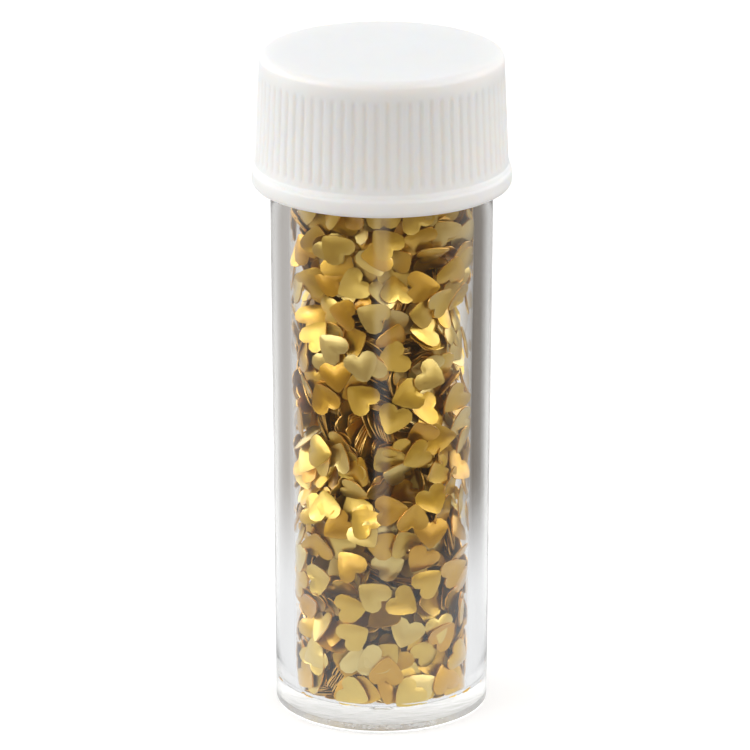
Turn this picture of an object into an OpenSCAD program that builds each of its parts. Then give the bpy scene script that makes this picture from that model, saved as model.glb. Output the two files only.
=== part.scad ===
// Screw-top sample vial filled with heart flakes.
// Origin: middle of the foot, on the surface the vial stands on. +Z runs up the tube. Millimetres.

/* [Vial] */
// Height of the vial from its foot to its lip
vial_h = 59.2; // [56:0.1:62]
// Outside diameter of the tube at the shoulder
tube_top_d = 20; // [19.7:0.1:20.2]
// Outside diameter of the tube at the foot
tube_foot_d = 19.3; // [18.9:0.1:19.6]
// Diameter of the bore at the lip
bore_lip_d = 17; // [16.6:0.1:17.2]
// Diameter of the bore at the floor
bore_floor_d = 15.7; // [15.6:0.1:16]
// Thickness of the floor above the foot
floor_t = 2.2; // [1.6:0.1:2.4]
// Diameter of the shallow recess under the floor
recess_d = 14.6; // [12:0.1:15]

/* [Neck and thread] */
// Height of the neck above the shoulder
neck_h = 9.4; // [9:0.1:10]
// Outside diameter of the neck between the threads
neck_d = 18.5; // [18.3:0.1:18.6]
// Outside diameter over the vial's thread
thread_d = 19.7; // [19.4:0.1:19.8]
// Rise of the thread in one turn
pitch = 3.175; // [3:0.025:3.4]

/* [Cap] */
// Height of the cap
cap_h = 12.2; // [11.8:0.1:12.6]
// Outside diameter of the cap under its rounded rim
cap_top_d = 21.92; // [21.8:0.02:22.4]
// Outside diameter of the ribbed skirt where it meets the bead
cap_skirt_d = 22.72; // [22.5:0.02:23]
// Outside diameter of the bead round the cap's mouth
bead_d = 23.34; // [23.2:0.02:23.8]
// Height of the bead
bead_h = 2.1; // [1.8:0.1:2.4]
// Number of grip grooves
grooves = 70; // [40:2:72]
// Depth of a grip groove
groove_depth = 0.25; // [0.1:0.05:0.3]

/* [Liner] */
// Thickness of the foam liner
liner_t = 1; // [0.6:0.1:1.2]
// Diameter of the foam liner
liner_d = 19.2; // [18.8:0.1:19.6]

/* [Hearts] */
// Width of a heart over its lobes
heart_w = 3; // [2.4:0.1:3]
// Thickness of a heart
heart_t = 0.12; // [0.08:0.01:0.16]
// Hearts in one pile
pile = 3; // [1:1:3]

/* [Hidden] */
$fn = 96;
eps = 0.01;

// Vial
shoulder_z = vial_h - neck_h;
shoulder_slope = 0.4;
foot_corner = 0.8;
floor_fillet = 0.6;
lip_round = 0.3;
recess_h = 0.4;
recess_slope = 0.3;
gate_r = 0.7;
gate_h = 0.15;

// Threads: a ridge is a trapezium, widest where it joins its wall, and right-handed.
// The cap's ridge lies under the vial's, a little play away.
ridge_root_w = 1.3;
ridge_crest_w = 0.6;
ridge_sink = 0.12;
ridge_fade = 30;
thread_steps = 48;
vial_turns = 1.25;
cap_turns = 1.5;
vial_thread_z = shoulder_z + 2.4;
cap_root_d = 20;
cap_crest_d = 18.8;
thread_play = 0.1;
flank_run = (ridge_root_w - ridge_crest_w) / (thread_d - neck_d + 2 * ridge_sink);
flank_gap = ridge_root_w - flank_run * ((cap_root_d - neck_d) / 2 + 2 * ridge_sink);
cap_thread_z = vial_thread_z - flank_gap - thread_play;

// Cap: it closes with the liner on the lip
cap_panel_t = 1.3;
cap_panel_z = vial_h + liner_t;
cap_top_z = cap_panel_z + cap_panel_t;
cap_foot_z = cap_top_z - cap_h;
cap_rim_round = 0.7;
bead_top_z = cap_foot_z + bead_h;
bead_slope = 0.5;
bead_round = 0.5;
skirt_lead_in_d = 20.7;
skirt_lead_in_h = 1.1;
groove_r = 0.27;
groove_top_z = cap_top_z - 1.6;
skirt_draft = atan((cap_skirt_d - cap_top_d) / 2 / (cap_top_z - cap_rim_round - bead_top_z));

// Heart outline: two lobes and a blunt tip, joined by their outer tangents
lobe_r = heart_w * 0.267;
lobe_x = heart_w / 2 - lobe_r;
lobe_y = heart_w * 0.133;
tip_r = heart_w * 0.05;
tip_y = -heart_w * 0.483;
side_len = norm([lobe_x, lobe_y - tip_y]);
side_turn = atan2(tip_y - lobe_y, -lobe_x) + acos((lobe_r - tip_r) / side_len);
side_normal = [cos(side_turn), sin(side_turn)];

// Heart bed: rings of piles in courses, each course turned against the one below
wall_piles = 13;
wall_ring_r = 7.5;
inner_piles = 9;
inner_ring_r = 5.1;
core_piles = 3;
core_ring_r = 1.95;
pile_gap = 0.3;
pile_fan = 37;
course_rise = 3.4;
first_course_z = floor_t + 1.8;
last_course = 15;
golden_turn = 137.5;

// A profile in the XZ half plane, turned into a solid of revolution
module turned() {
    rotate_extrude() children();
}

// One thread ridge swept up its helix. Its height fades to nothing at both ends.
module thread_ridge(root_d, crest_d, turns, start_z) {
    outward = crest_d > root_d;
    sunk_r = root_d / 2 + (outward ? -ridge_sink : ridge_sink);
    steps = ceil(turns * thread_steps);
    span = turns * 360;
    function fade(a) = min(1, 0.04 + min(a, span - a) / ridge_fade);
    function crest_r(a) = root_d / 2 + (crest_d - root_d) / 2 * fade(a);
    function section(a) =
        let (z = start_z + pitch * a / 360, c = crest_r(a), h = ridge_crest_w / 2 + (1 - fade(a)) * 0.15)
        [[sunk_r, z - ridge_root_w / 2], [c, z - h], [c, z + h], [sunk_r, z + ridge_root_w / 2]];
    points = [
        for (i = [0 : steps]) let (a = span * i / steps)
            for (p = section(a)) [p.x * cos(a), p.x * sin(a), p.y]
    ];
    sides = [
        for (i = [0 : steps - 1], k = [0 : 3])
            let (a = 4 * i + k, b = 4 * i + (k + 1) % 4)
            for (f = [[a, b, b + 4], [a, b + 4, a + 4]]) f
    ];
    last = 4 * steps;
    ends = [[0, 2, 1], [0, 3, 2], [last, last + 1, last + 2], [last, last + 2, last + 3]];
    faces = [for (f = concat(sides, ends)) outward ? f : [f[2], f[1], f[0]]];
    polyhedron(points, faces);
}

// Outside of the vial: drafted tube with a rounded foot, shoulder and neck
module vial_outside() {
    foot_r = tube_foot_d / 2;
    corner_x = foot_r - foot_corner;
    turned() {
        polygon([
            [0, 0], [corner_x, 0], [corner_x, foot_corner], [foot_r, foot_corner],
            [tube_top_d / 2, shoulder_z - shoulder_slope], [neck_d / 2, shoulder_z],
            [neck_d / 2, vial_h - lip_round], [neck_d / 2 - lip_round, vial_h], [0, vial_h]
        ]);
        translate([corner_x, foot_corner]) intersection() {
            circle(foot_corner);
            translate([0, -foot_corner]) square(foot_corner);
        }
    }
}

// Bore of the vial: drafted, with a fillet where the wall meets the floor
module vial_bore() {
    floor_r = bore_floor_d / 2;
    fillet_x = floor_r - floor_fillet;
    turned() {
        polygon([
            [0, floor_t], [fillet_x, floor_t], [fillet_x, floor_t + floor_fillet],
            [floor_r, floor_t + floor_fillet], [bore_lip_d / 2, vial_h + eps], [0, vial_h + eps]
        ]);
        translate([fillet_x, floor_t + floor_fillet]) intersection() {
            circle(floor_fillet);
            translate([0, -floor_fillet]) square(floor_fillet);
        }
    }
}

// Clear tube, floor, neck and thread: one moulding
module vial_body() {
    color([0.93, 0.96, 0.97, 0.35]) difference() {
        union() {
            vial_outside();
            thread_ridge(neck_d, thread_d, vial_turns, vial_thread_z);
        }
        vial_bore();
        // shallow recess, so that the vial stands on a ring
        turned() polygon([
            [0, -1], [recess_d / 2, -1], [recess_d / 2, 0], [recess_d / 2 - recess_slope, recess_h], [0, recess_h]
        ]);
    }
    // gate mark left by the mould, inside the recess
    color([0.93, 0.96, 0.97, 0.35]) translate([0, 0, recess_h - gate_h]) cylinder(r = gate_r, h = gate_h + eps);
}

// Outside of the cap: rounded rim, drafted skirt and the bead round its mouth
module cap_outside() {
    top_r = cap_top_d / 2;
    rim_z = cap_top_z - cap_rim_round;
    bead_r = bead_d / 2;
    turned() {
        polygon([
            [0, cap_foot_z], [bead_r - bead_round, cap_foot_z], [bead_r - bead_round, cap_foot_z + bead_round],
            [bead_r, cap_foot_z + bead_round], [bead_r, bead_top_z - bead_slope], [cap_skirt_d / 2, bead_top_z],
            [top_r, rim_z], [top_r - cap_rim_round, rim_z], [top_r - cap_rim_round, cap_top_z], [0, cap_top_z]
        ]);
        translate([top_r - cap_rim_round, rim_z]) intersection() {
            circle(cap_rim_round);
            square(cap_rim_round);
        }
        translate([bead_r - bead_round, cap_foot_z + bead_round]) intersection() {
            circle(bead_round);
            translate([0, -bead_round]) square(bead_round);
        }
    }
}

// Hollow of the cap: thread wall with a wider lead-in over the shoulder
module cap_hollow() {
    lead_z = cap_foot_z + skirt_lead_in_h;
    lead_r = skirt_lead_in_d / 2;
    root_r = cap_root_d / 2;
    turned() polygon([
        [0, cap_foot_z - 1], [lead_r, cap_foot_z - 1], [lead_r, lead_z - (lead_r - root_r)], [root_r, lead_z],
        [root_r, cap_panel_z], [0, cap_panel_z]
    ]);
}

// One grip groove: a round cutter laid along the drafted skirt
module grip_groove() {
    start_r = cap_skirt_d / 2 + groove_r - groove_depth;
    reach = (groove_top_z - bead_top_z) / cos(skirt_draft);
    translate([start_r, 0, bead_top_z]) rotate([0, -skirt_draft, 0]) {
        cylinder(r = groove_r, h = reach, $fn = 24);
        translate([0, 0, reach]) sphere(r = groove_r, $fn = 24);
    }
}

// White ribbed cap with its inside thread: one moulding
module screw_cap() {
    color([0.95, 0.95, 0.94]) {
        difference() {
            cap_outside();
            cap_hollow();
            for (i = [0 : grooves - 1]) rotate(i * 360 / grooves) grip_groove();
        }
        thread_ridge(cap_root_d, cap_crest_d, cap_turns, cap_thread_z);
    }
}

// Foam wad that seals the lip. The thread's crest is smaller, so it can't drop out.
module cap_liner() {
    color([0.98, 0.98, 0.98]) translate([0, 0, vial_h]) cylinder(d = liner_d, h = liner_t);
}

// One die-cut heart lying flat, with its middle at the origin
module heart_flake() {
    side = [side_normal.x * lobe_r + lobe_x, side_normal.y * lobe_r + lobe_y];
    tip = [side_normal.x * tip_r, side_normal.y * tip_r + tip_y + tip_r];
    linear_extrude(heart_t, center = true) {
        for (s = [-1, 1]) translate([s * lobe_x, lobe_y]) circle(lobe_r, $fn = 32);
        translate([0, tip_y + tip_r]) circle(tip_r, $fn = 16);
        polygon([tip, side, [lobe_x, lobe_y], [-lobe_x, lobe_y], [-side.x, side.y], [-tip.x, tip.y]]);
    }
}

// Hearts stacked face to face, each turned a little against the last
module heart_pile(turn) {
    for (i = [0 : pile - 1])
        translate([0, 0, (i - (pile - 1) / 2) * pile_gap]) rotate(turn + i * pile_fan) heart_flake();
}

// A ring of piles, each leaning its own way
module ring_of_piles(count, radius, z, lean, seed) {
    for (i = [0 : count - 1]) {
        turn = (seed + i) * golden_turn;
        rotate((i + seed % 2 / 2) * 360 / count) translate([radius, 0, z])
            rotate([lean * sin(turn * 3), 90 - lean * cos(turn), 0]) heart_pile(turn);
    }
}

// One course of the heart bed: piles flat against the wall, leaning piles inside them and a core
module hearts_course(n) {
    z = first_course_z + (n - 1) * course_rise;
    color(n % 2 == 0 ? [0.83, 0.68, 0.35] : [0.87, 0.74, 0.45]) {
        ring_of_piles(wall_piles, wall_ring_r - pile_gap, z, 0, n);
        ring_of_piles(inner_piles, inner_ring_r, z, 80, n + 4);
        if (n < last_course) ring_of_piles(core_piles, core_ring_r, z + course_rise / 2, 80, n + 9);
    }
}

vial_body();
screw_cap();
cap_liner();
hearts_course(1);  // hearts_course_01
hearts_course(2);  // hearts_course_02
hearts_course(3);  // hearts_course_03
hearts_course(4);  // hearts_course_04
hearts_course(5);  // hearts_course_05
hearts_course(6);  // hearts_course_06
hearts_course(7);  // hearts_course_07
hearts_course(8);  // hearts_course_08
hearts_course(9);  // hearts_course_09
hearts_course(10);  // hearts_course_10
hearts_course(11);  // hearts_course_11
hearts_course(12);  // hearts_course_12
hearts_course(13);  // hearts_course_13
hearts_course(14);  // hearts_course_14
hearts_course(15);  // hearts_course_15
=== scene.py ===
import math

import bpy
import numpy as np
from mathutils import Matrix, Quaternion, Vector


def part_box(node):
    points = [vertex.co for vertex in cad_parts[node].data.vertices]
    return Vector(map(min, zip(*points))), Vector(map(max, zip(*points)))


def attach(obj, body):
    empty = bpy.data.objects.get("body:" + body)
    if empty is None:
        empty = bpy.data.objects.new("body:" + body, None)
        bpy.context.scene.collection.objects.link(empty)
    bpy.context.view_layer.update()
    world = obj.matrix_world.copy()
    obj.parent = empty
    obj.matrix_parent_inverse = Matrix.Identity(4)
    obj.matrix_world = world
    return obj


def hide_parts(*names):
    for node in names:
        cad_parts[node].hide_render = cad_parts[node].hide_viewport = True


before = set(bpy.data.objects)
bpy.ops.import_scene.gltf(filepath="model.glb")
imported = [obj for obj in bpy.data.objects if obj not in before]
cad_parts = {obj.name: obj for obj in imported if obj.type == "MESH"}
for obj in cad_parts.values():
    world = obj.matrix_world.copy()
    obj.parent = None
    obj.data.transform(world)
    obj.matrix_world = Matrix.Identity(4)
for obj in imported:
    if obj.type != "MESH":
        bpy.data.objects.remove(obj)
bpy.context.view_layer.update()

# ---------------------------------------------------------------------------------------------
# Vial: one injection moulding in clear styrene. A drafted tube on a thick floor with a standing
# ring under it, and a neck with a coarse right-handed thread for the cap.
# ---------------------------------------------------------------------------------------------
mm = 0.001
vial_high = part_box("vial_body")[1]
tube_top_r = vial_high[0]
tube_foot_r = tube_top_r - 0.35 * mm
lip_z = vial_high[2]
shoulder_z = lip_z - 9.4 * mm
neck_r = tube_top_r - 0.75 * mm
bore_lip_r = 8.5 * mm
bore_floor_r = 7.85 * mm
floor_z = 2.2 * mm
foot_round = 0.8 * mm
floor_fillet = 0.6 * mm
recess_r = 7.3 * mm
recess_h = 0.4 * mm
gate_r = 0.7 * mm
gate_h = 0.15 * mm
vial_segments = 256
thread_start_z = shoulder_z + 2.4 * mm
thread_depth = 0.6 * mm
thread_form = {
    "Pitch": 3.175 * mm, "Root width": 1.18 * mm, "Crest width": 0.6 * mm, "Fade": math.radians(30)}


def arc(centre_r, centre_z, radius, start, end, steps):
    """Points of a round stretch of an outline, from one angle to another, in degrees."""
    angles = np.radians(np.linspace(start, end, steps + 1))
    return [(centre_r + radius * math.cos(a), centre_z + radius * math.sin(a)) for a in angles]


def run(start, end, step):
    """Evenly spaced points from start towards end, without the end itself."""
    count = max(1, round(math.dist(start, end) / step))
    return [tuple(np.array(start) + (np.array(end) - start) * i / count) for i in range(count)]


def turned(name, outline, segments, wall=None):
    """A closed solid of revolution. The outline starts and ends on the axis, with the solid on its left.

    wall names attributes: a ring of points has 1 in one where its test of radius and height holds.
    """
    rings = [p for p in outline if p[0] > 1e-7]
    angles = np.arange(segments) * 2 * math.pi / segments
    round_x, round_y = np.cos(angles), np.sin(angles)
    rows = [np.stack([r * round_x, r * round_y, np.full(segments, z)], axis=1) for r, z in rings]
    points = np.concatenate(rows + [np.array([[0, 0, outline[0][1]], [0, 0, outline[-1][1]]])])
    first, last = len(points) - 2, len(points) - 1
    around = np.arange(segments)
    beside = (around + 1) % segments
    faces = []
    for k in range(len(rings) - 1):
        a, b = k * segments, (k + 1) * segments
        faces += np.stack([a + around, a + beside, b + beside, b + around], axis=1).tolist()
    faces += [(first, int(j), int(i)) for i, j in zip(around, beside)]
    top = (len(rings) - 1) * segments
    faces += [(last, int(top + i), int(top + j)) for i, j in zip(around, beside)]
    mesh = bpy.data.meshes.new(name)
    mesh.from_pydata(points.tolist(), [], faces)
    for label, keep in (wall or {}).items():
        values = [float(keep(r, z)) for r, z in rings for _ in range(segments)] + [0.0, 0.0]
        mesh.attributes.new(label, "FLOAT", "POINT").data.foreach_set("value", values)
    mesh.shade_smooth()
    mesh.update()
    return mesh


def linked(node_tree, node, values):
    """Fills a node's sockets by name or number: a socket is linked, anything else is its value."""
    for key, value in values.items():
        socket = node.inputs[key]
        if isinstance(value, bpy.types.NodeSocket):
            node_tree.links.new(value, socket)
        else:
            socket.default_value = value
    return node


def worked_out(node_tree, operation, *values):
    """One Math node, with its values in order."""
    node = node_tree.nodes.new("ShaderNodeMath")
    node.operation = operation
    return linked(node_tree, node, dict(enumerate(values))).outputs[0]


def eased(node_tree, value, low, high, to_low=0.0, to_high=1.0):
    """A smooth step from to_low to to_high as value goes from low to high."""
    node = node_tree.nodes.new("ShaderNodeMapRange")
    node.interpolation_type = "SMOOTHSTEP"
    sockets = {"Value": value, "From Min": low, "From Max": high, "To Min": to_low, "To Max": to_high}
    return linked(node_tree, node, sockets).outputs["Result"]


def new_rule(name, inputs):
    """An empty Geometry Nodes tree with named inputs. Gives the tree and its input sockets."""
    tree = bpy.data.node_groups.new(name, "GeometryNodeTree")
    tree.interface.new_socket("Geometry", in_out="INPUT", socket_type="NodeSocketGeometry")
    for label, kind in inputs.items():
        tree.interface.new_socket(label, in_out="INPUT", socket_type=kind)
    tree.interface.new_socket("Geometry", in_out="OUTPUT", socket_type="NodeSocketGeometry")
    return tree, tree.nodes.new("NodeGroupInput").outputs


def close_rule(tree, geometry, material):
    """Ends a tree the same way each time: real geometry, with its material."""
    real = linked(tree, tree.nodes.new("GeometryNodeRealizeInstances"), {"Geometry": geometry})
    finish = tree.nodes.new("GeometryNodeSetMaterial")
    linked(tree, finish, {"Geometry": real.outputs[0], "Material": material})
    linked(tree, tree.nodes.new("NodeGroupOutput"), {0: finish.outputs[0]})


def moved_radially(tree, geometry, offset):
    """Set Position along the radius from the vial's axis."""
    place = tree.nodes.new("GeometryNodeInputPosition").outputs[0]
    flat = linked(tree, tree.nodes.new("ShaderNodeVectorMath"), {0: place, 1: (1.0, 1.0, 0.0)})
    flat.operation = "MULTIPLY"
    radial = linked(tree, tree.nodes.new("ShaderNodeVectorMath"), {0: flat.outputs[0]})
    radial.operation = "NORMALIZE"
    move = tree.nodes.new("ShaderNodeVectorMath")
    move.operation = "SCALE"
    linked(tree, move, {0: radial.outputs[0], "Scale": offset})
    moved = tree.nodes.new("GeometryNodeSetPosition")
    return linked(tree, moved, {"Geometry": geometry, "Offset": move.outputs[0]}).outputs[0]


def from_axis(tree, x, y):
    """The distance from the vial's axis."""
    squares = [worked_out(tree, "POWER", side, 2) for side in (x, y)]
    return worked_out(tree, "SQRT", worked_out(tree, "ADD", *squares))


def polar(tree):
    """A point's angle round the axis from 0 to a full turn, its radius and its height."""
    place = tree.nodes.new("GeometryNodeInputPosition").outputs[0]
    x, y, z = linked(tree, tree.nodes.new("ShaderNodeSeparateXYZ"), {0: place}).outputs
    angle = worked_out(tree, "ARCTAN2", y, x)
    turn = worked_out(tree, "FLOORED_MODULO", angle, 2 * math.pi)
    return turn, from_axis(tree, x, y), z


def attribute_value(tree, name):
    """A number kept at each point of the piece."""
    node = tree.nodes.new("GeometryNodeInputNamedAttribute")
    return linked(tree, node, {"Name": name}).outputs["Attribute"]


# the thread: a ridge of trapezium section that follows the helix and fades out at both ends
thread_numbers = ["Pitch", "Turns", "Start", "Ridge", "Root width", "Crest width", "Fade"]
thread_sockets = {"Material": "NodeSocketMaterial"} | dict.fromkeys(thread_numbers, "NodeSocketFloat")
thread_rule, thread_in = new_rule("helical thread", thread_sockets)
turn, radius, height = polar(thread_rule)
span = worked_out(thread_rule, "MULTIPLY", thread_in["Turns"], 2 * math.pi)
ridge = 0.0
for lap in range(2):
    along = worked_out(thread_rule, "ADD", turn, lap * 2 * math.pi)
    pitches = worked_out(thread_rule, "MULTIPLY", along, thread_in["Pitch"])
    climb = worked_out(thread_rule, "DIVIDE", pitches, 2 * math.pi)
    middle = worked_out(thread_rule, "ADD", thread_in["Start"], climb)
    away = worked_out(thread_rule, "ABSOLUTE", worked_out(thread_rule, "SUBTRACT", height, middle))
    crest = worked_out(thread_rule, "DIVIDE", thread_in["Crest width"], 2)
    root = worked_out(thread_rule, "DIVIDE", thread_in["Root width"], 2)
    flank = eased(thread_rule, away, crest, root, 1.0, 0.0)
    flank.node.interpolation_type = "LINEAR"
    left = worked_out(thread_rule, "MINIMUM", along, worked_out(thread_rule, "SUBTRACT", span, along))
    ends = eased(thread_rule, left, 0.0, thread_in["Fade"])
    ridge = worked_out(thread_rule, "MAXIMUM", ridge, worked_out(thread_rule, "MULTIPLY", flank, ends))
raised = worked_out(thread_rule, "MULTIPLY", ridge, thread_in["Ridge"])
raised = worked_out(thread_rule, "MULTIPLY", raised, attribute_value(thread_rule, "threaded"))
close_rule(thread_rule, moved_radially(thread_rule, thread_in["Geometry"], raised), thread_in["Material"])


def ruled(name, mesh, rules):
    """Runs Geometry Nodes trees over a mesh in order and gives the finished plain mesh as an object."""
    piece = bpy.data.objects.new(name, mesh)
    bpy.context.scene.collection.objects.link(piece)
    for tree, values in rules:
        modifier = piece.modifiers.new(tree.name, "NODES")
        modifier.node_group = tree
        for item in tree.interface.items_tree:
            if item.in_out == "INPUT" and item.name in values:
                modifier[item.identifier] = values[item.name]
    shaped = bpy.data.meshes.new_from_object(piece.evaluated_get(bpy.context.evaluated_depsgraph_get()))
    piece.modifiers.clear()
    piece.data = shaped
    shaped.name = name
    return piece


def new_material(name):
    """A material with only its Principled shader. Gives the material, its tree and the shader."""
    material = bpy.data.materials.new(name)
    material.use_nodes = True
    return material, material.node_tree, material.node_tree.nodes["Principled BSDF"]


def own_place(tree):
    """The piece's own coordinates, for patterns."""
    return tree.nodes.new("ShaderNodeTexCoord").outputs["Object"]


def noise(tree, scale, detail):
    """Noise over the piece's own coordinates, with scale in cells a metre."""
    node = tree.nodes.new("ShaderNodeTexNoise")
    return linked(tree, node, {"Vector": own_place(tree), "Scale": scale, "Detail": detail}).outputs["Fac"]


def bump(tree, height, distance, strength=1.0, over=None):
    """A Bump node's normal, on top of another one if there is one."""
    sockets = {"Height": height, "Distance": distance, "Strength": strength}
    if over:
        sockets["Normal"] = over
    return linked(tree, tree.nodes.new("ShaderNodeBump"), sockets).outputs["Normal"]


def new_effect(name, inputs, outputs):
    """An empty shader group that materials share. Gives the group, its inputs and its output node."""
    group = bpy.data.node_groups.new(name, "ShaderNodeTree")
    for label, kind in inputs.items():
        group.interface.new_socket(label, in_out="INPUT", socket_type=kind)
    for label, kind in outputs.items():
        group.interface.new_socket(label, in_out="OUTPUT", socket_type=kind)
    return group, group.nodes.new("NodeGroupInput").outputs, group.nodes.new("NodeGroupOutput")


def effect(tree, group, values):
    """Places a shared effect in a material, on the piece's own coordinates, and gives its outputs."""
    node = tree.nodes.new("ShaderNodeGroup")
    node.node_tree = group
    return linked(tree, node, {"Place": own_place(tree)} | values).outputs


# the surface that every moulded or rolled piece has: gloss that drifts, over a fine grain
finish_numbers = ["Drift", "Smoothest", "Roughest", "Grain", "Depth", "Strength"]
finish_sockets = {"Place": "NodeSocketVector"} | dict.fromkeys(finish_numbers, "NodeSocketFloat")
finish_gives = {"Roughness": "NodeSocketFloat", "Normal": "NodeSocketVector"}
finish_group, finish_in, finish_out = new_effect("drifting gloss over grain", finish_sockets, finish_gives)
drift = linked(finish_group, finish_group.nodes.new("ShaderNodeTexNoise"), {
    "Vector": finish_in["Place"], "Scale": finish_in["Drift"], "Detail": 3.0})
grain = linked(finish_group, finish_group.nodes.new("ShaderNodeTexNoise"), {
    "Vector": finish_in["Place"], "Scale": finish_in["Grain"], "Detail": 2.0})
gloss_range = (finish_in["Smoothest"], finish_in["Roughest"])
linked(finish_group, finish_out, {
    "Roughness": eased(finish_group, drift.outputs["Fac"], 0.3, 0.75, *gloss_range),
    "Normal": bump(finish_group, grain.outputs["Fac"], finish_in["Depth"], finish_in["Strength"])})

# clear styrene: bends light strongly, with a faint waviness from the mould and a few fine rubs
clear, tree, shader = new_material("clear styrene")
shader.inputs["Base Color"].default_value = (0.975, 0.985, 0.99, 1.0)
shader.inputs["IOR"].default_value = 1.57
shader.inputs["Transmission Weight"].default_value = 1.0
gloss = effect(tree, finish_group, {
    "Drift": 900.0, "Smoothest": 0.012, "Roughest": 0.05,
    "Grain": 260.0, "Depth": 0.02 * mm, "Strength": 0.35})
# the recess under the floor keeps the mould's duller surface, which breaks up what shows through it
x, y, z = linked(tree, tree.nodes.new("ShaderNodeSeparateXYZ"), {0: own_place(tree)}).outputs
under = worked_out(tree, "MULTIPLY", eased(tree, z, 0.38 * mm, 0.45 * mm, 1.0, 0.0),
                   eased(tree, from_axis(tree, x, y), 7.2 * mm, 7.4 * mm, 1.0, 0.0))
pitted = worked_out(tree, "MULTIPLY", under, noise(tree, 700.0, 2.0))
linked(tree, shader, {
    "Roughness": worked_out(tree, "MAXIMUM", gloss["Roughness"], worked_out(tree, "MULTIPLY", under, 0.55)),
    "Normal": bump(tree, pitted, 0.25 * mm, 1.0, gloss["Normal"])})
# rays from the lamps pass straight through, so that the fill is lit as brightly as it is in the hand
straight = linked(tree, tree.nodes.new("ShaderNodeBsdfTransparent"), {"Color": (0.93, 0.94, 0.95, 1.0)})
either = linked(tree, tree.nodes.new("ShaderNodeMixShader"), {
    0: tree.nodes.new("ShaderNodeLightPath").outputs["Is Shadow Ray"],
    1: shader.outputs[0],
    2: straight.outputs[0]})
linked(tree, tree.nodes["Material Output"], {"Surface": either.outputs[0]})

corner_r = tube_foot_r - foot_round
fillet_r = bore_floor_r - floor_fillet
lip_round = 0.3 * mm
row = 0.11 * mm
vial_outline = (
    [(0.0, recess_h - gate_h), (gate_r * 0.9, recess_h - gate_h), (gate_r, recess_h - gate_h * 0.8)]
    + [(gate_r, recess_h)]
    + run((gate_r * 1.1, recess_h), (recess_r - 0.5 * mm, recess_h), 1.2 * mm)
    + arc(recess_r - 0.45 * mm, recess_h - 0.15 * mm, 0.15 * mm, 90, 40, 3)
    + arc(recess_r + 0.15 * mm, 0.15 * mm, 0.15 * mm, 220, 270, 3)
    + run((recess_r + 0.3 * mm, 0), (corner_r, 0), 0.4 * mm)
    + arc(corner_r, foot_round, foot_round, -90, 0, 12)
    + run((tube_foot_r + 0.001 * mm, foot_round + 0.2 * mm), (tube_top_r, shoulder_z - 0.6 * mm), 2.4 * mm)
    + arc(tube_top_r - 0.12 * mm, shoulder_z - 0.52 * mm, 0.12 * mm, 0, 60, 4)
    + arc(neck_r + 0.15 * mm, shoulder_z + 0.1 * mm, 0.15 * mm, 240, 180, 3)
    + run((neck_r, shoulder_z + 0.3 * mm), (neck_r, lip_z - lip_round), row)
    + arc(neck_r - lip_round, lip_z - lip_round, lip_round, 0, 90, 6)
    + [(bore_lip_r + 0.3 * mm, lip_z)]
    + arc(bore_lip_r + 0.15 * mm, lip_z - 0.15 * mm, 0.15 * mm, 90, 180, 4)
    + run((bore_lip_r, lip_z - 0.3 * mm), (bore_floor_r, floor_z + floor_fillet + 0.2 * mm), 2.4 * mm)
    + arc(fillet_r, floor_z + floor_fillet, floor_fillet, 0, -90, 8)
    + run((fillet_r - 0.2 * mm, floor_z), (0.6 * mm, floor_z), 1.2 * mm)
    + [(0.0, floor_z)]
)
vial_walls = {"threaded": lambda r, z: abs(r - neck_r) < 1e-7}
vial_shape = turned("vial", vial_outline, vial_segments, vial_walls)
vial = ruled("vial", vial_shape, [(thread_rule, thread_form | {
    "Material": clear, "Turns": 1.25, "Start": thread_start_z, "Ridge": thread_depth})])
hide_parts("vial_body")
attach(vial, "vial")

# ---------------------------------------------------------------------------------------------
# Screw cap: one moulding in white polypropylene. Seventy grip grooves run up its drafted skirt
# from the bead round its mouth, and the same thread turns round the inside.
# ---------------------------------------------------------------------------------------------
cap_low, cap_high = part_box("screw_cap")
liner_low, liner_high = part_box("cap_liner")
cap_foot_z, cap_top_z = cap_low[2], cap_high[2]
panel_z = liner_high[2]
bead_r = cap_high[0]
bead_h = 2.1 * mm
skirt_r = bead_r - 0.31 * mm
cap_top_r = skirt_r - 0.4 * mm
rim_round = 0.7 * mm
bead_round = 0.5 * mm
thread_wall_r = 10.0 * mm
mouth_r = 10.35 * mm
grooves = 70
groove_depth = 0.11 * mm
groove_top_z = cap_top_z - 1.5 * mm
cap_segments = grooves * 10

# the grip: a round-bottomed groove at even angles, fading out below the rim
grip_numbers = ["Count", "Depth", "Flat", "Width", "Foot", "Top", "Fade"]
grip_sockets = {"Material": "NodeSocketMaterial"} | dict.fromkeys(grip_numbers, "NodeSocketFloat")
grip_rule, grip_in = new_rule("grip grooves", grip_sockets)
turn, radius, height = polar(grip_rule)
share = worked_out(grip_rule, "DIVIDE", turn, 2 * math.pi)
share = worked_out(grip_rule, "MULTIPLY", share, grip_in["Count"])
phase = worked_out(grip_rule, "PINGPONG", share, 0.5)
girth = worked_out(grip_rule, "MULTIPLY", radius, 2 * math.pi)
spacing = worked_out(grip_rule, "DIVIDE", girth, grip_in["Count"])
aside = worked_out(grip_rule, "MULTIPLY", phase, spacing)
half_flat = worked_out(grip_rule, "DIVIDE", grip_in["Flat"], 2)
half_width = worked_out(grip_rule, "DIVIDE", grip_in["Width"], 2)
hollow = eased(grip_rule, aside, half_flat, half_width, 1.0, 0.0)
full_below = worked_out(grip_rule, "SUBTRACT", grip_in["Top"], grip_in["Fade"])
full_above = worked_out(grip_rule, "ADD", grip_in["Foot"], grip_in["Fade"])
below = eased(grip_rule, height, full_below, grip_in["Top"], 1.0, 0.0)
above = eased(grip_rule, height, grip_in["Foot"], full_above)
shown = worked_out(grip_rule, "MULTIPLY", below, above)
gripped = attribute_value(grip_rule, "gripped")
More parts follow.
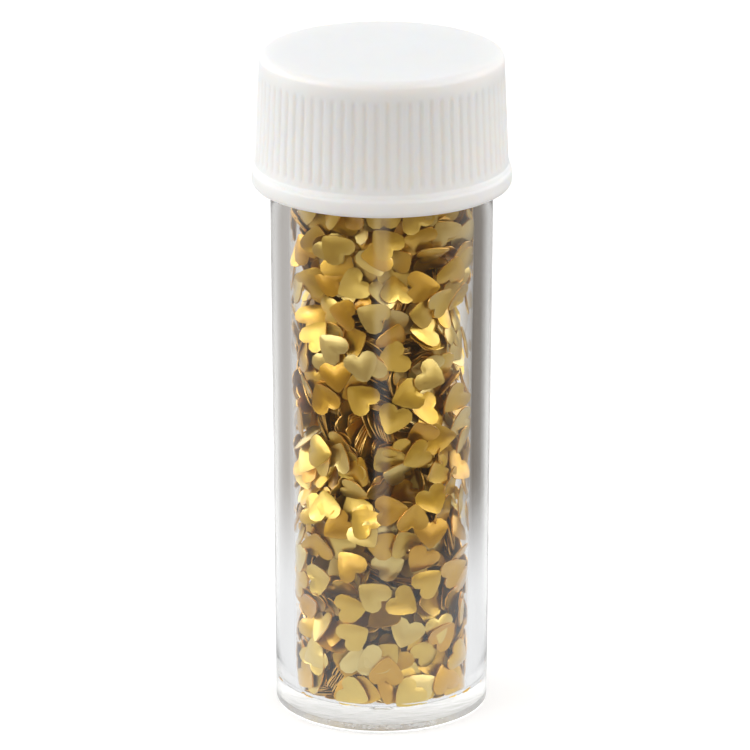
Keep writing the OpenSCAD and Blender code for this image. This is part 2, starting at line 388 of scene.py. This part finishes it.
sunk = worked_out(grip_rule, "MULTIPLY", hollow, worked_out(grip_rule, "MULTIPLY", shown, gripped))
# keeps each point's share of groove depth, which the material uses to paint shade into the grooves
kept = linked(grip_rule, grip_rule.nodes.new("GeometryNodeStoreNamedAttribute"), {
    "Geometry": grip_in["Geometry"], "Name": "groove", "Value": sunk})
inward = worked_out(grip_rule, "MULTIPLY", worked_out(grip_rule, "MULTIPLY", sunk, grip_in["Depth"]), -1.0)
close_rule(grip_rule, moved_radially(grip_rule, kept.outputs[0], inward), grip_in["Material"])


def ramp(tree, value, stops):
    """Colours by value: stops is a list of places and colours."""
    node = tree.nodes.new("ShaderNodeValToRGB")
    while len(node.color_ramp.elements) < len(stops):
        node.color_ramp.elements.new(0.5)
    for element, (place, colour) in zip(node.color_ramp.elements, stops):
        element.position = place
        element.color = (*colour, 1.0)
    return linked(tree, node, {"Fac": value}).outputs["Color"]


def blended(tree, share, first, second):
    """A Mix node of two colours."""
    node = tree.nodes.new("ShaderNodeMix")
    node.data_type = "RGBA"
    return linked(tree, node, {0: share, 6: first, 7: second}).outputs[2]


# white polypropylene: light soaks a little way in, with the fine bloom of a sparked mould on the skirt
white, tree, shader = new_material("white polypropylene")
tone = ramp(tree, noise(tree, 120.0, 3.0), [(0.3, (0.94, 0.922, 0.897)), (0.7, (0.955, 0.94, 0.918))])
# painted shade: the grooves get a darker, warmer white that stands in for the shade and warm reflected
# light in their hollows
in_groove = tree.nodes.new("ShaderNodeAttribute")
in_groove.attribute_name = "groove"
groove_painted_shade = (0.92, 0.885, 0.85, 1.0)
linked(tree, shader, {"Base Color": blended(tree, in_groove.outputs["Fac"], tone, groove_painted_shade)})
satin = effect(tree, finish_group, {
    "Drift": 700.0, "Smoothest": 0.3, "Roughest": 0.46,
    "Grain": 5200.0, "Depth": 0.006 * mm, "Strength": 0.5})
linked(tree, shader, {"Roughness": satin["Roughness"], "Normal": satin["Normal"]})
shader.inputs["IOR"].default_value = 1.49
shader.inputs["Subsurface Weight"].default_value = 0.9
shader.inputs["Subsurface Radius"].default_value = (1.0, 0.8, 0.65)
shader.inputs["Subsurface Scale"].default_value = 2.5 * mm

rim_z = cap_top_z - rim_round
bead_top_z = cap_foot_z + bead_h
skirt_slope = (skirt_r - cap_top_r) / (rim_z - bead_top_z)
groove_fade = 0.7 * mm


def skirt_at(z):
    """The point of the drafted skirt's outline at a height."""
    return skirt_r - (z - bead_top_z) * skirt_slope, z


cap_outline = (
    [(0.0, panel_z)]
    + run((1.0 * mm, panel_z), (thread_wall_r - 0.5 * mm, panel_z), 2.0 * mm)
    + arc(thread_wall_r - 0.3 * mm, panel_z - 0.3 * mm, 0.3 * mm, 90, 0, 4)
    + run((thread_wall_r, panel_z - 0.6 * mm), (thread_wall_r, cap_foot_z + 1.1 * mm), 0.15 * mm)
    + [(thread_wall_r, cap_foot_z + 1.1 * mm), (mouth_r, cap_foot_z + 0.75 * mm)]
    + [(mouth_r, cap_foot_z + 0.15 * mm)]
    + arc(mouth_r + 0.12 * mm, cap_foot_z + 0.12 * mm, 0.12 * mm, 200, 270, 3)
    + [(bead_r - bead_round - 0.1 * mm, cap_foot_z)]
    + arc(bead_r - bead_round, cap_foot_z + bead_round, bead_round, -90, 0, 7)
    + run((bead_r, cap_foot_z + bead_round + 0.1 * mm), (bead_r, bead_top_z - 0.9 * mm), 0.2 * mm)
    + arc(bead_r - 0.5 * mm, bead_top_z - 0.8 * mm, 0.5 * mm, 0, 55, 6)
    + arc(skirt_r + 0.25 * mm, bead_top_z + 0.05 * mm, 0.25 * mm, 240, 180, 4)
    + run(skirt_at(bead_top_z + 0.2 * mm), skirt_at(bead_top_z + 0.9 * mm), 0.12 * mm)
    + run(skirt_at(bead_top_z + 0.9 * mm), skirt_at(groove_top_z - groove_fade), 1.4 * mm)
    + run(skirt_at(groove_top_z - groove_fade), skirt_at(groove_top_z), 0.12 * mm)
    + [skirt_at(groove_top_z), skirt_at(rim_z - 0.1 * mm)]
    + arc(cap_top_r - rim_round, rim_z, rim_round, 0, 90, 9)
    + run((cap_top_r - rim_round - 0.2 * mm, cap_top_z), (0.8 * mm, cap_top_z), 2.2 * mm)
    + [(0.0, cap_top_z)]
)
cap_walls = {
    "threaded": lambda r, z: abs(r - thread_wall_r) < 1e-7,
    "gripped": lambda r, z: bead_top_z - 0.3 * mm < z < rim_z and r > thread_wall_r + 0.3 * mm,
}
cap_shape = turned("screw cap", cap_outline, cap_segments, cap_walls)
flank_gap = 0.819 * mm
thread_play = 0.1 * mm
cap = ruled("screw_cap_white", cap_shape, [
    (thread_rule, thread_form | {
        "Material": white, "Turns": 1.5, "Start": thread_start_z - flank_gap - thread_play,
        "Ridge": -thread_depth}),
    (grip_rule, {
        "Material": white, "Count": float(grooves), "Depth": groove_depth,
        "Flat": 0.1 * mm, "Width": 0.6 * mm,
        "Foot": bead_top_z + 0.1 * mm, "Top": groove_top_z, "Fade": groove_fade})])
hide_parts("screw_cap")
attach(cap, "cap")

# ---------------------------------------------------------------------------------------------
# Liner: a die-cut wad of white closed-cell foam that lies loose under the cap's panel. The lip
# has pressed a shallow ring into its lower face.
# ---------------------------------------------------------------------------------------------
foam, tree, shader = new_material("liner foam")
cells = tree.nodes.new("ShaderNodeTexVoronoi")
linked(tree, cells, {"Vector": own_place(tree), "Scale": 6500.0})
shade = ramp(tree, cells.outputs["Distance"], [(0.0, (0.9, 0.9, 0.89)), (0.8, (0.78, 0.78, 0.77))])
linked(tree, shader, {
    "Base Color": shade,
    "Normal": bump(tree, cells.outputs["Distance"], 0.03 * mm, 0.7),
    "Roughness": eased(tree, noise(tree, 1500.0, 2.0), 0.3, 0.7, 0.75, 0.9)})

liner_r = liner_high[0]
liner_z = liner_low[2]
press = 0.04 * mm
liner_round = 0.12 * mm
lip_mark = (bore_lip_r + neck_r) / 2
liner_outline = (
    [(0.0, liner_z)]
    + run((1.0 * mm, liner_z), (lip_mark - 0.6 * mm, liner_z), 1.5 * mm)
    + [(lip_mark + 0.1 * mm * k, liner_z + press * (0.5 + 0.5 * math.cos(math.pi * k / 4)))
       for k in range(-4, 5)]
    + arc(liner_r - liner_round, liner_z + liner_round, liner_round, -90, 0, 4)
    + arc(liner_r - liner_round, panel_z - liner_round, liner_round, 0, 90, 4)
    + run((liner_r - 0.5 * mm, panel_z), (0.5 * mm, panel_z), 2.0 * mm)
    + [(0.0, panel_z)]
)
liner = bpy.data.objects.new("foam_liner", turned("foam liner", liner_outline, 160))
liner.data.materials.append(foam)
bpy.context.scene.collection.objects.link(liner)
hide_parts("cap_liner")
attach(liner, "liner")

# ---------------------------------------------------------------------------------------------
# Heart flakes: thousands of hearts die-cut from gold-metallised film, a little cupped by the
# punch. Poured in, they lie against the wall, stand in leaning stacks and fill the middle.
# ---------------------------------------------------------------------------------------------
heart_w = 3.0 * mm
heart_t = 0.1 * mm
heart_cup = 0.2 * mm
courses = sorted(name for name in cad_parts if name.startswith("hearts_course_"))
bed_low = floor_z
bed_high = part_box(courses[-1])[1][2]
bed_random = np.random.default_rng(11)


def heart_outline(lobe_steps):
    """A heart from its notch round one lobe to its tip and back: two circles and a blunt tip."""
    lobe_r, lobe_x, lobe_y = heart_w * 0.267, heart_w * 0.233, heart_w * 0.15
    tip_r, tip_y = heart_w * 0.1, -heart_w * 0.4
    apart = math.dist((lobe_x, lobe_y), (0, tip_y))
    lean = math.atan2(tip_y - lobe_y, -lobe_x) + math.acos((lobe_r - tip_r) / apart)
    notch = math.pi - math.acos(lobe_x / lobe_r)
    lobe = [notch + (lean - notch) * i / lobe_steps for i in range(lobe_steps + 1)]
    half = [(lobe_x + lobe_r * math.cos(a), lobe_y + lobe_r * math.sin(a)) for a in lobe]
    near_tip = (tip_r * math.cos(lean), tip_y + tip_r * math.sin(lean))
    full = heart_w * 0.03
    outwards = (math.cos(lean), math.sin(lean))
    middle = [(a + b) / 2 + full * side for a, b, side in zip(half[-1], near_tip, outwards)]
    half += [tuple(middle), near_tip]
    return half + [(0.0, tip_y - tip_r)] + [(-x, y) for x, y in reversed(half[1:])]


def heart_mesh(name, lobe_steps, cup, rings):
    """A closed cupped heart: rings of points on both faces, from the rim to the middle."""
    rim = np.array(heart_outline(lobe_steps))
    count = len(rim)
    points = []
    for side in (1, -1):
        for share in rings:
            rise = np.full(count, cup * (1 - share ** 2) + side * heart_t / 2)
            points.append(np.column_stack([rim * share, rise]))
    points = np.concatenate(points)
    face = len(rings) * count
    faces = [tuple(range(face - count, face))[::-1], tuple(range(2 * face - count, 2 * face))]
    for i in range(count):
        j = (i + 1) % count
        faces.append((face + j, face + i, i, j))
        for k in range(len(rings) - 1):
            a, b = k * count, (k + 1) * count
            faces.append((b + i, b + j, a + j, a + i))
            faces.append((face + b + j, face + b + i, face + a + i, face + a + j))
    mesh = bpy.data.meshes.new(name)
    mesh.from_pydata(points.tolist(), [], faces)
    mesh.shade_smooth()
    # the two rims stay crisp, so each face keeps its sheen right out to the cut
    rims = (range(count), range(face, face + count))
    crisp = [any(all(v in rim_points for v in e.vertices) for rim_points in rims) for e in mesh.edges]
    mesh.attributes.new("sharp_edge", "BOOLEAN", "EDGE").data.foreach_set("value", crisp)
    # marks the cut edge faces, where the material paints shade
    cut = [float(max(p.vertices) >= face > min(p.vertices)) for p in mesh.polygons]
    mesh.attributes.new("cut edge", "FLOAT", "FACE").data.foreach_set("value", cut)
    return mesh


def bore_at(z):
    """The drafted bore's radius at a height."""
    return bore_floor_r + (bore_lip_r - bore_floor_r) * (z - floor_z) / (lip_z - floor_z)


def outward(angle):
    """The unit vector away from the axis."""
    return Vector((math.cos(angle), math.sin(angle), 0))


def facing(normal, spin):
    """The turn that points a flake's face along normal, spun about it."""
    return Vector((0, 0, 1)).rotation_difference(Vector(normal).normalized()) @ Quaternion((0, 0, 1), spin)


# how the fill changes round the wall: high where flakes stand edge-on, low where they lie on the wall
waves = [
    (round(bed_random.normal() * 3), bed_random.normal() * 700, bed_random.uniform(0, 2 * math.pi))
    for _ in range(24)]


def edge_on(angle, z):
    """The waves' sum at an angle and height."""
    return sum(math.sin(laps * angle + rate * z + start) for laps, rate, start in waves) / math.sqrt(12)


flakes = []
margin = 1.2 * mm
heart_area = 6.0 * mm * mm
wall_r = bore_at((bed_low + bed_high) / 2)
wall_area = 2 * math.pi * wall_r * (bed_high - bed_low - 2 * margin)


def clear_of(place, others, spacing):
    """True where no other flake's middle is closer than spacing."""
    return all((place - other).length > spacing for other in others)


# flakes flat on the floor and under the liner
for low, step in ((bed_low + 0.15 * mm, 0.2 * mm), (bed_high - 0.5 * mm, -0.22 * mm)):
    for layer in range(4):
        laid = []
        for _ in range(300):
            away = (bore_at(low) - 1.5 * mm) * math.sqrt(bed_random.uniform())
            place = away * outward(bed_random.uniform(0, 2 * math.pi))
            place.z = low + layer * step
            if clear_of(place, laid, 2.3 * mm):
                laid.append(place)
                lean = Vector((0, 0, bed_random.choice([-1, 1]))) + Vector(bed_random.normal(size=3) * 0.04)
                flakes.append((place, facing(lean, bed_random.uniform(0, 2 * math.pi))))

# flakes flat against the wall, in layers, the outermost first
for layer in range(6):
    laid = []
    depth = (0.26 + 0.2 * layer) * mm
    for _ in range(14000):
        if len(laid) > wall_area / heart_area * 0.74:
            break
        angle = bed_random.uniform(0, 2 * math.pi)
        z = bed_random.uniform(bed_low + margin, bed_high - margin)
        if edge_on(angle, z) > 0.4 + 0.1 * layer:
            continue
        place = (bore_at(z) - depth) * outward(angle) + Vector((0, 0, z))
        if clear_of(place, laid, 2.2 * mm):
            laid.append(place)
            lean = (outward(angle) + Vector(bed_random.normal(size=3) * 0.17)) * bed_random.choice([-1, 1])
            flakes.append((place, facing(lean, bed_random.uniform(0, 2 * math.pi))))


def add_stack(place, axis, count, gap, fan):
    """Flakes face to face along axis, each a little out of line with the last."""
    axis = Vector(axis).normalized()
    spin = bed_random.uniform(0, 2 * math.pi)
    for i in range(count):
        slip = Vector(bed_random.normal(size=3) * 0.14 * mm)
        tilt = Quaternion(Vector(bed_random.normal(size=3)).normalized(), bed_random.normal() * 0.12)
        turn = tilt @ facing(axis, spin + i * fan + bed_random.normal() * 0.15)
        flakes.append((place + axis * (i - (count - 1) / 2) * gap + slip, turn))


# stacks that stand edge-on to the wall, then stacks through the middle
stacks = []
for _ in range(6000):
    angle = bed_random.uniform(0, 2 * math.pi)
    z = bed_random.uniform(bed_low + margin, bed_high - margin)
    place = (bore_at(z) - 1.62 * mm) * outward(angle) + Vector((0, 0, z))
    if edge_on(angle, z) > 0.42 and clear_of(place, stacks, 2.35 * mm):
        stacks.append(place)
        lean = bed_random.normal() * 0.6 if bed_random.uniform() < 0.65 else bed_random.uniform(0, math.pi)
        sideways = Vector((-math.sin(angle), math.cos(angle), 0))
        axis = Vector((0, 0, 1)) * math.cos(lean) + sideways * math.sin(lean)
        axis += outward(angle) * bed_random.normal() * 0.3
        add_stack(place, axis, 9, 0.22 * mm, 0.12)
for _ in range(20000):
    away = (wall_r - 3.1 * mm) * math.sqrt(bed_random.uniform())
    place = away * outward(bed_random.uniform(0, 2 * math.pi))
    place.z = bed_random.uniform(bed_low + margin, bed_high - margin)
    if clear_of(place, stacks, 2.85 * mm):
        stacks.append(place)
        add_stack(place, bed_random.normal(size=3) + np.array([0, 0, 1.2]), 7, 0.32 * mm, 0.3)


def settled(flakes):
    """Lets the flakes push apart and sag in a stiff bore, as rigid bodies at a hundred times size."""
    scene = bpy.context.scene
    grow = 100.0
    frames = 24
    bpy.ops.rigidbody.world_add()
    world = scene.rigidbody_world
    world.collection = bpy.data.collections.new("pour")
    scene.collection.children.link(world.collection)
    world.substeps_per_frame = 6
    world.solver_iterations = 10
    world.point_cache.frame_start = 1
    world.point_cache.frame_end = frames
    scene.gravity = (0, 0, -1.0)
    made = []

    def add_body(mesh, place, kind, shape, friction):
        body = bpy.data.objects.new("pour", mesh)
        body.rotation_mode = "QUATERNION"
        body.location, body.rotation_quaternion, _ = place.decompose()
        world.collection.objects.link(body)
        body.rigid_body.type = kind
        body.rigid_body.collision_shape = shape
        body.rigid_body.friction = friction
        body.rigid_body.use_margin = True
        body.rigid_body.collision_margin = 0.002
        made.append(body)
        return body

    def block(size):
        mesh = bpy.data.meshes.new("block")
        a, b, c = (side / 2 for side in size)
        corners = [(x, y, z) for x in (-a, a) for y in (-b, b) for z in (-c, c)]
        sides = [(0, 1, 3, 2), (4, 6, 7, 5), (0, 4, 5, 1), (2, 3, 7, 6), (0, 2, 6, 4), (1, 5, 7, 3)]
        mesh.from_pydata(corners, [], sides)
        return mesh

    planks = 28
    tall = (bed_high - bed_low) * grow
    middle = (bed_high + bed_low) / 2 * grow
    plank = block((1.0, 3.2 * bore_lip_r * grow * math.tan(math.pi / planks), tall + 2))
    draft = math.atan((bore_lip_r - bore_floor_r) / (lip_z - floor_z))
    for i in range(planks):
        out = Matrix.Translation((wall_r * grow + 0.5, 0, middle)) @ Matrix.Rotation(draft, 4, "Y")
        add_body(plank, Matrix.Rotation(2 * math.pi * i / planks, 4, "Z") @ out, "PASSIVE", "BOX", 0.4)
    end = block((3.0, 3.0, 1.0))
    add_body(end, Matrix.Translation((0, 0, bed_low * grow - 0.5)), "PASSIVE", "BOX", 0.4)
    add_body(end, Matrix.Translation((0, 0, bed_high * grow + 0.5)), "PASSIVE", "BOX", 0.4)

    flat_heart = heart_mesh("flat heart", 4, 0.0, [1.0])
    flat_heart.transform(Matrix.Scale(grow, 4))
    bodies = []
    for place, turn in flakes:
        start = Matrix.LocRotScale(place * grow, turn, None)
        body = add_body(flat_heart, start, "ACTIVE", "CONVEX_HULL", 0.5)
        body.rigid_body.mass = 0.01
        body.rigid_body.restitution = 0.0
        body.rigid_body.linear_damping = 0.6
        body.rigid_body.angular_damping = 0.6
        bodies.append(body)
    for step in range(1, frames + 1):
        scene.frame_set(step)
    graph = bpy.context.evaluated_depsgraph_get()
    ends = [body.evaluated_get(graph).matrix_world.decompose() for body in bodies]
    for body in made:
        bpy.data.objects.remove(body)
    bpy.data.collections.remove(world.collection)
    bpy.ops.rigidbody.world_remove()
    scene.frame_set(1)
    return [(place / grow, turn) for place, turn, _ in ends]


flakes = settled(flakes)

# flakes that slid into the bare spots left along the wall
middles = np.array([tuple(place) for place, turn in flakes])
for z in np.arange(bed_low + margin, bed_high - 0.5 * mm, 0.8 * mm).tolist():
    for angle in np.arange(0, 2 * math.pi, 0.11).tolist():
        place = (bore_at(z) - 0.3 * mm) * outward(angle) + Vector((0, 0, z))
        if (np.linalg.norm(middles - place, axis=1) > 1.9 * mm).all():
            middles = np.vstack([middles, place])
            lean = (outward(angle) + Vector(bed_random.normal(size=3) * 0.16)) * bed_random.choice([-1, 1])
            flakes.append((place, facing(lean, bed_random.uniform(0, 2 * math.pi))))

flake_mesh = heart_mesh("flake pattern", 5, heart_cup, [1.0, 0.6])
flake_points = [v.co.copy() for v in flake_mesh.vertices]


def kept_inside(place, turn):
    """Slides a flake along the radius or the height until no point of it leaves the bed."""
    for _ in range(4):
        points = [place + turn @ p for p in flake_points]
        over = max(math.hypot(p.x, p.y) - bore_at(p.z) for p in points) + 0.02 * mm
        if over > 0:
            place = place - over * 1.1 * Vector((place.x, place.y, 0)).normalized()
        low = bed_low + 0.03 * mm - min(p.z for p in points)
        high = max(p.z for p in points) - bed_high
        place = place + Vector((0, 0, max(low, 0) - max(high, 0)))
    return place, turn


flakes = [kept_inside(place, turn) for place, turn in flakes]

# gold-metallised film: satin under a clear lacquer, each flake its own tone, with painted shade on the cut
# edge in a darker, warmer gold
gold, tree, shader = new_material("gold film")
tint = tree.nodes.new("ShaderNodeAttribute")
tint.attribute_name = "tint"
tone = ramp(tree, tint.outputs["Fac"], [
    (0.0, (0.69, 0.355, 0.02)), (0.45, (0.75, 0.48, 0.05)),
    (0.7, (0.8, 0.57, 0.12)), (1.0, (0.84, 0.665, 0.26))])
# painted shade: the cut edge faces get a darker, more orange gold that stands in for the flakes' dark rims
cut = tree.nodes.new("ShaderNodeAttribute")
cut.attribute_name = "cut edge"
linked(tree, shader, {"Base Color": blended(tree, cut.outputs["Fac"], tone, (0.8, 0.45, 0.08, 1.0))})
shader.inputs["Metallic"].default_value = 1.0
shader.inputs["Coat Weight"].default_value = 1.0
shader.inputs["Coat Roughness"].default_value = 0.2
sheen = effect(tree, finish_group, {
    "Drift": 1500.0, "Smoothest": 0.34, "Roughest": 0.48,
    "Grain": 1500.0, "Depth": 0.003 * mm, "Strength": 0.25})
linked(tree, shader, {"Roughness": sheen["Roughness"], "Normal": sheen["Normal"]})

flake_sockets = {"Material": "NodeSocketMaterial", "Flake": "NodeSocketObject"}
flake_rule, flake_in = new_rule("poured flakes", flake_sockets)
flake_shape = flake_rule.nodes.new("GeometryNodeObjectInfo")
linked(flake_rule, flake_shape, {"Object": flake_in["Flake"]})
flake_turn = flake_rule.nodes.new("GeometryNodeInputNamedAttribute")
flake_turn.data_type = "QUATERNION"
flake_turn.inputs["Name"].default_value = "turn"
scattered = linked(flake_rule, flake_rule.nodes.new("GeometryNodeInstanceOnPoints"), {
    "Points": flake_in["Geometry"],
    "Instance": flake_shape.outputs["Geometry"],
    "Rotation": flake_turn.outputs["Attribute"]})
close_rule(flake_rule, scattered.outputs[0], flake_in["Material"])

flake = bpy.data.objects.new("flake pattern", flake_mesh)
bpy.context.scene.collection.objects.link(flake)
course_h = (bed_high - bed_low) / len(courses)
for number, course in enumerate(courses):
    low = bed_low + number * course_h
    own = [f for f in flakes if low <= f[0].z < low + course_h]
    points = bpy.data.meshes.new(course)
    points.from_pydata([place for place, turn in own], [], [])
    turns = [part for place, turn in own for part in turn]
    points.attributes.new("turn", "QUATERNION", "POINT").data.foreach_set("value", turns)
    tints = bed_random.uniform(0, 1, len(own))
    points.attributes.new("tint", "FLOAT", "POINT").data.foreach_set("value", tints)
    inputs = {"Material": gold, "Flake": flake}
    piece = ruled(course.replace("hearts", "heart_flakes"), points, [(flake_rule, inputs)])
    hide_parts(course)
    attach(piece, "vial")
bpy.data.objects.remove(flake)

# ---------------------------------------------------------------------------------------------
# Studio: a white table in a tent whose cloth is bright to the left, behind and above, and dim and
# warm on the viewer's side. What the clear wall and the foil mirror is the table further off, which glows
# with painted light and shade.
# ---------------------------------------------------------------------------------------------
def by_direction(tree, x, y, stops):
    """Colours by direction round the object: right is 0, behind 0.25, left 0.5, the viewer's side 0.75."""
    angle = worked_out(tree, "DIVIDE", worked_out(tree, "ARCTAN2", y, x), 2 * math.pi)
    return ramp(tree, worked_out(tree, "FLOORED_MODULO", angle, 1.0), stops)


def grey(value, warmth=0.0):
    """A grey, made warmer by taking a share from its green and twice that from its blue."""
    return (value, value * (1 - warmth), value * (1 - 2 * warmth))


table, tree, shader = new_material("white table")
shader.inputs["Base Color"].default_value = (0.9, 0.9, 0.9, 1.0)
shader.inputs["Roughness"].default_value = 0.8
shader.inputs["Specular IOR Level"].default_value = 0.0
shader.inputs["Emission Color"].default_value = (1.0, 1.0, 1.0, 1.0)
shader.inputs["Emission Strength"].default_value = 0.32
x, y, z = linked(tree, tree.nodes.new("ShaderNodeSeparateXYZ"), {0: own_place(tree)}).outputs
# painted light and shade for every ray but the camera's: the table glows in bright and dim patches by
# direction, dim and warm on the viewer's side, for the wall and foil to mirror and to light the vial from
# below
warm_dusk = (0.2, 0.13, 0.075)
far_table = by_direction(tree, x, y, [
    (0.0, grey(0.5, 0.1)), (0.06, grey(0.5, 0.05)), (0.09, grey(0.17, 0.14)), (0.14, grey(0.22, 0.1)),
    (0.2, grey(0.65, 0.03)), (0.25, grey(0.95)), (0.31, grey(0.65, 0.03)), (0.36, grey(0.45, 0.06)),
    (0.4, grey(0.45, 0.06)), (0.45, grey(0.8, 0.02)), (0.5, grey(0.5, 0.1)), (0.57, warm_dusk),
    (0.722, warm_dusk), (0.737, grey(0.7, 0.05)), (0.763, grey(0.7, 0.05)), (0.778, warm_dusk),
    (0.93, warm_dusk), (1.0, grey(0.5, 0.1))])
away = from_axis(tree, x, y)
table_round = blended(tree, eased(tree, away, 32 * mm, 70 * mm), (0.86, 0.86, 0.86, 1.0), far_table)
# painted light: straight behind the vial the table glows with a painted pool of back light that fades with
# distance
near_glow, far_glow = (1.5, 1.5, 1.48, 1.0), (0.8, 0.79, 0.77, 1.0)
painted_back_pool = blended(tree, eased(tree, away, 30 * mm, 150 * mm), near_glow, far_glow)
behind = by_direction(tree, x, y, [
    (0.17, grey(0.0)), (0.22, grey(1.0)), (0.28, grey(1.0)), (0.33, grey(0.0))])
seen = blended(tree, behind, table_round, painted_back_pool)
painted_table_glow = linked(tree, tree.nodes.new("ShaderNodeEmission"), {"Color": seen, "Strength": 1.0})
# the camera sees the table evenly white; every other ray sees the painted glow
either = linked(tree, tree.nodes.new("ShaderNodeMixShader"), {
    0: tree.nodes.new("ShaderNodeLightPath").outputs["Is Camera Ray"],
    1: painted_table_glow.outputs[0],
    2: shader.outputs[0]})
linked(tree, tree.nodes["Material Output"], {"Surface": either.outputs[0]})
floor_mesh = bpy.data.meshes.new("table")
reach = 6.0
floor_corners = [(-reach, -reach, 0), (reach, -reach, 0), (reach, reach, 0), (-reach, reach, 0)]
floor_mesh.from_pydata(floor_corners, [], [(0, 1, 2, 3)])
floor_mesh.materials.append(table)
floor = bpy.data.objects.new("table", floor_mesh)
bpy.context.scene.collection.objects.link(floor)

tent = bpy.data.worlds.new("tent")
bpy.context.scene.world = tent
tent.use_nodes = True
tree = tent.node_tree
direction = tree.nodes.new("ShaderNodeTexCoord").outputs["Generated"]
x, y, z = linked(tree, tree.nodes.new("ShaderNodeSeparateXYZ"), {0: direction}).outputs
cloth = by_direction(tree, x, y, [
    (0.0, grey(3.0)), (0.125, grey(1.6)), (0.25, grey(1.2)), (0.375, grey(1.8)), (0.5, grey(3.5)),
    (0.6, grey(2.5)), (0.7, grey(0.7, 0.1)), (0.75, grey(0.6, 0.15)), (0.8, grey(0.7, 0.1)),
    (0.9, grey(2.1, 0.02)), (1.0, grey(3.0))])
ceiling = (0.43, 0.422, 0.418, 1.0)
tent_colour = blended(tree, eased(tree, z, 0.25, 0.9), cloth, ceiling)
linked(tree, tree.nodes["Background"], {"Color": tent_colour})

target_z = 31.18 * mm
target = Vector((-0.603 * mm, 0.0, target_z))
camera_back = 540.94 * mm
camera_z = 206.63 * mm


def add_lamp(name, place, size, power):
    """A soft square lamp that faces the vial."""
    lamp = bpy.data.lights.new(name, "AREA")
    lamp.size = size
    lamp.energy = power
    holder = bpy.data.objects.new(name, lamp)
    holder.location = place
    holder.rotation_euler = (target - Vector(place)).to_track_quat("-Z", "Y").to_euler()
    bpy.context.scene.collection.objects.link(holder)


add_lamp("left softbox", (-0.42, -0.25, 0.3), 0.08, 0.15)
add_lamp("right softbox", (0.38, -0.3, 0.32), 0.08, 0.15)

camera = bpy.data.cameras.new("camera")
camera.lens = 301.9
camera.sensor_width = 36.0
viewer = bpy.data.objects.new("camera", camera)
viewer.location = target + Vector((0.0, -camera_back, camera_z - target_z))
viewer.rotation_euler = (target - viewer.location).to_track_quat("-Z", "Y").to_euler()
bpy.context.scene.collection.objects.link(viewer)
bpy.context.scene.camera = viewer
bpy.context.scene.view_settings.view_transform = "Standard"
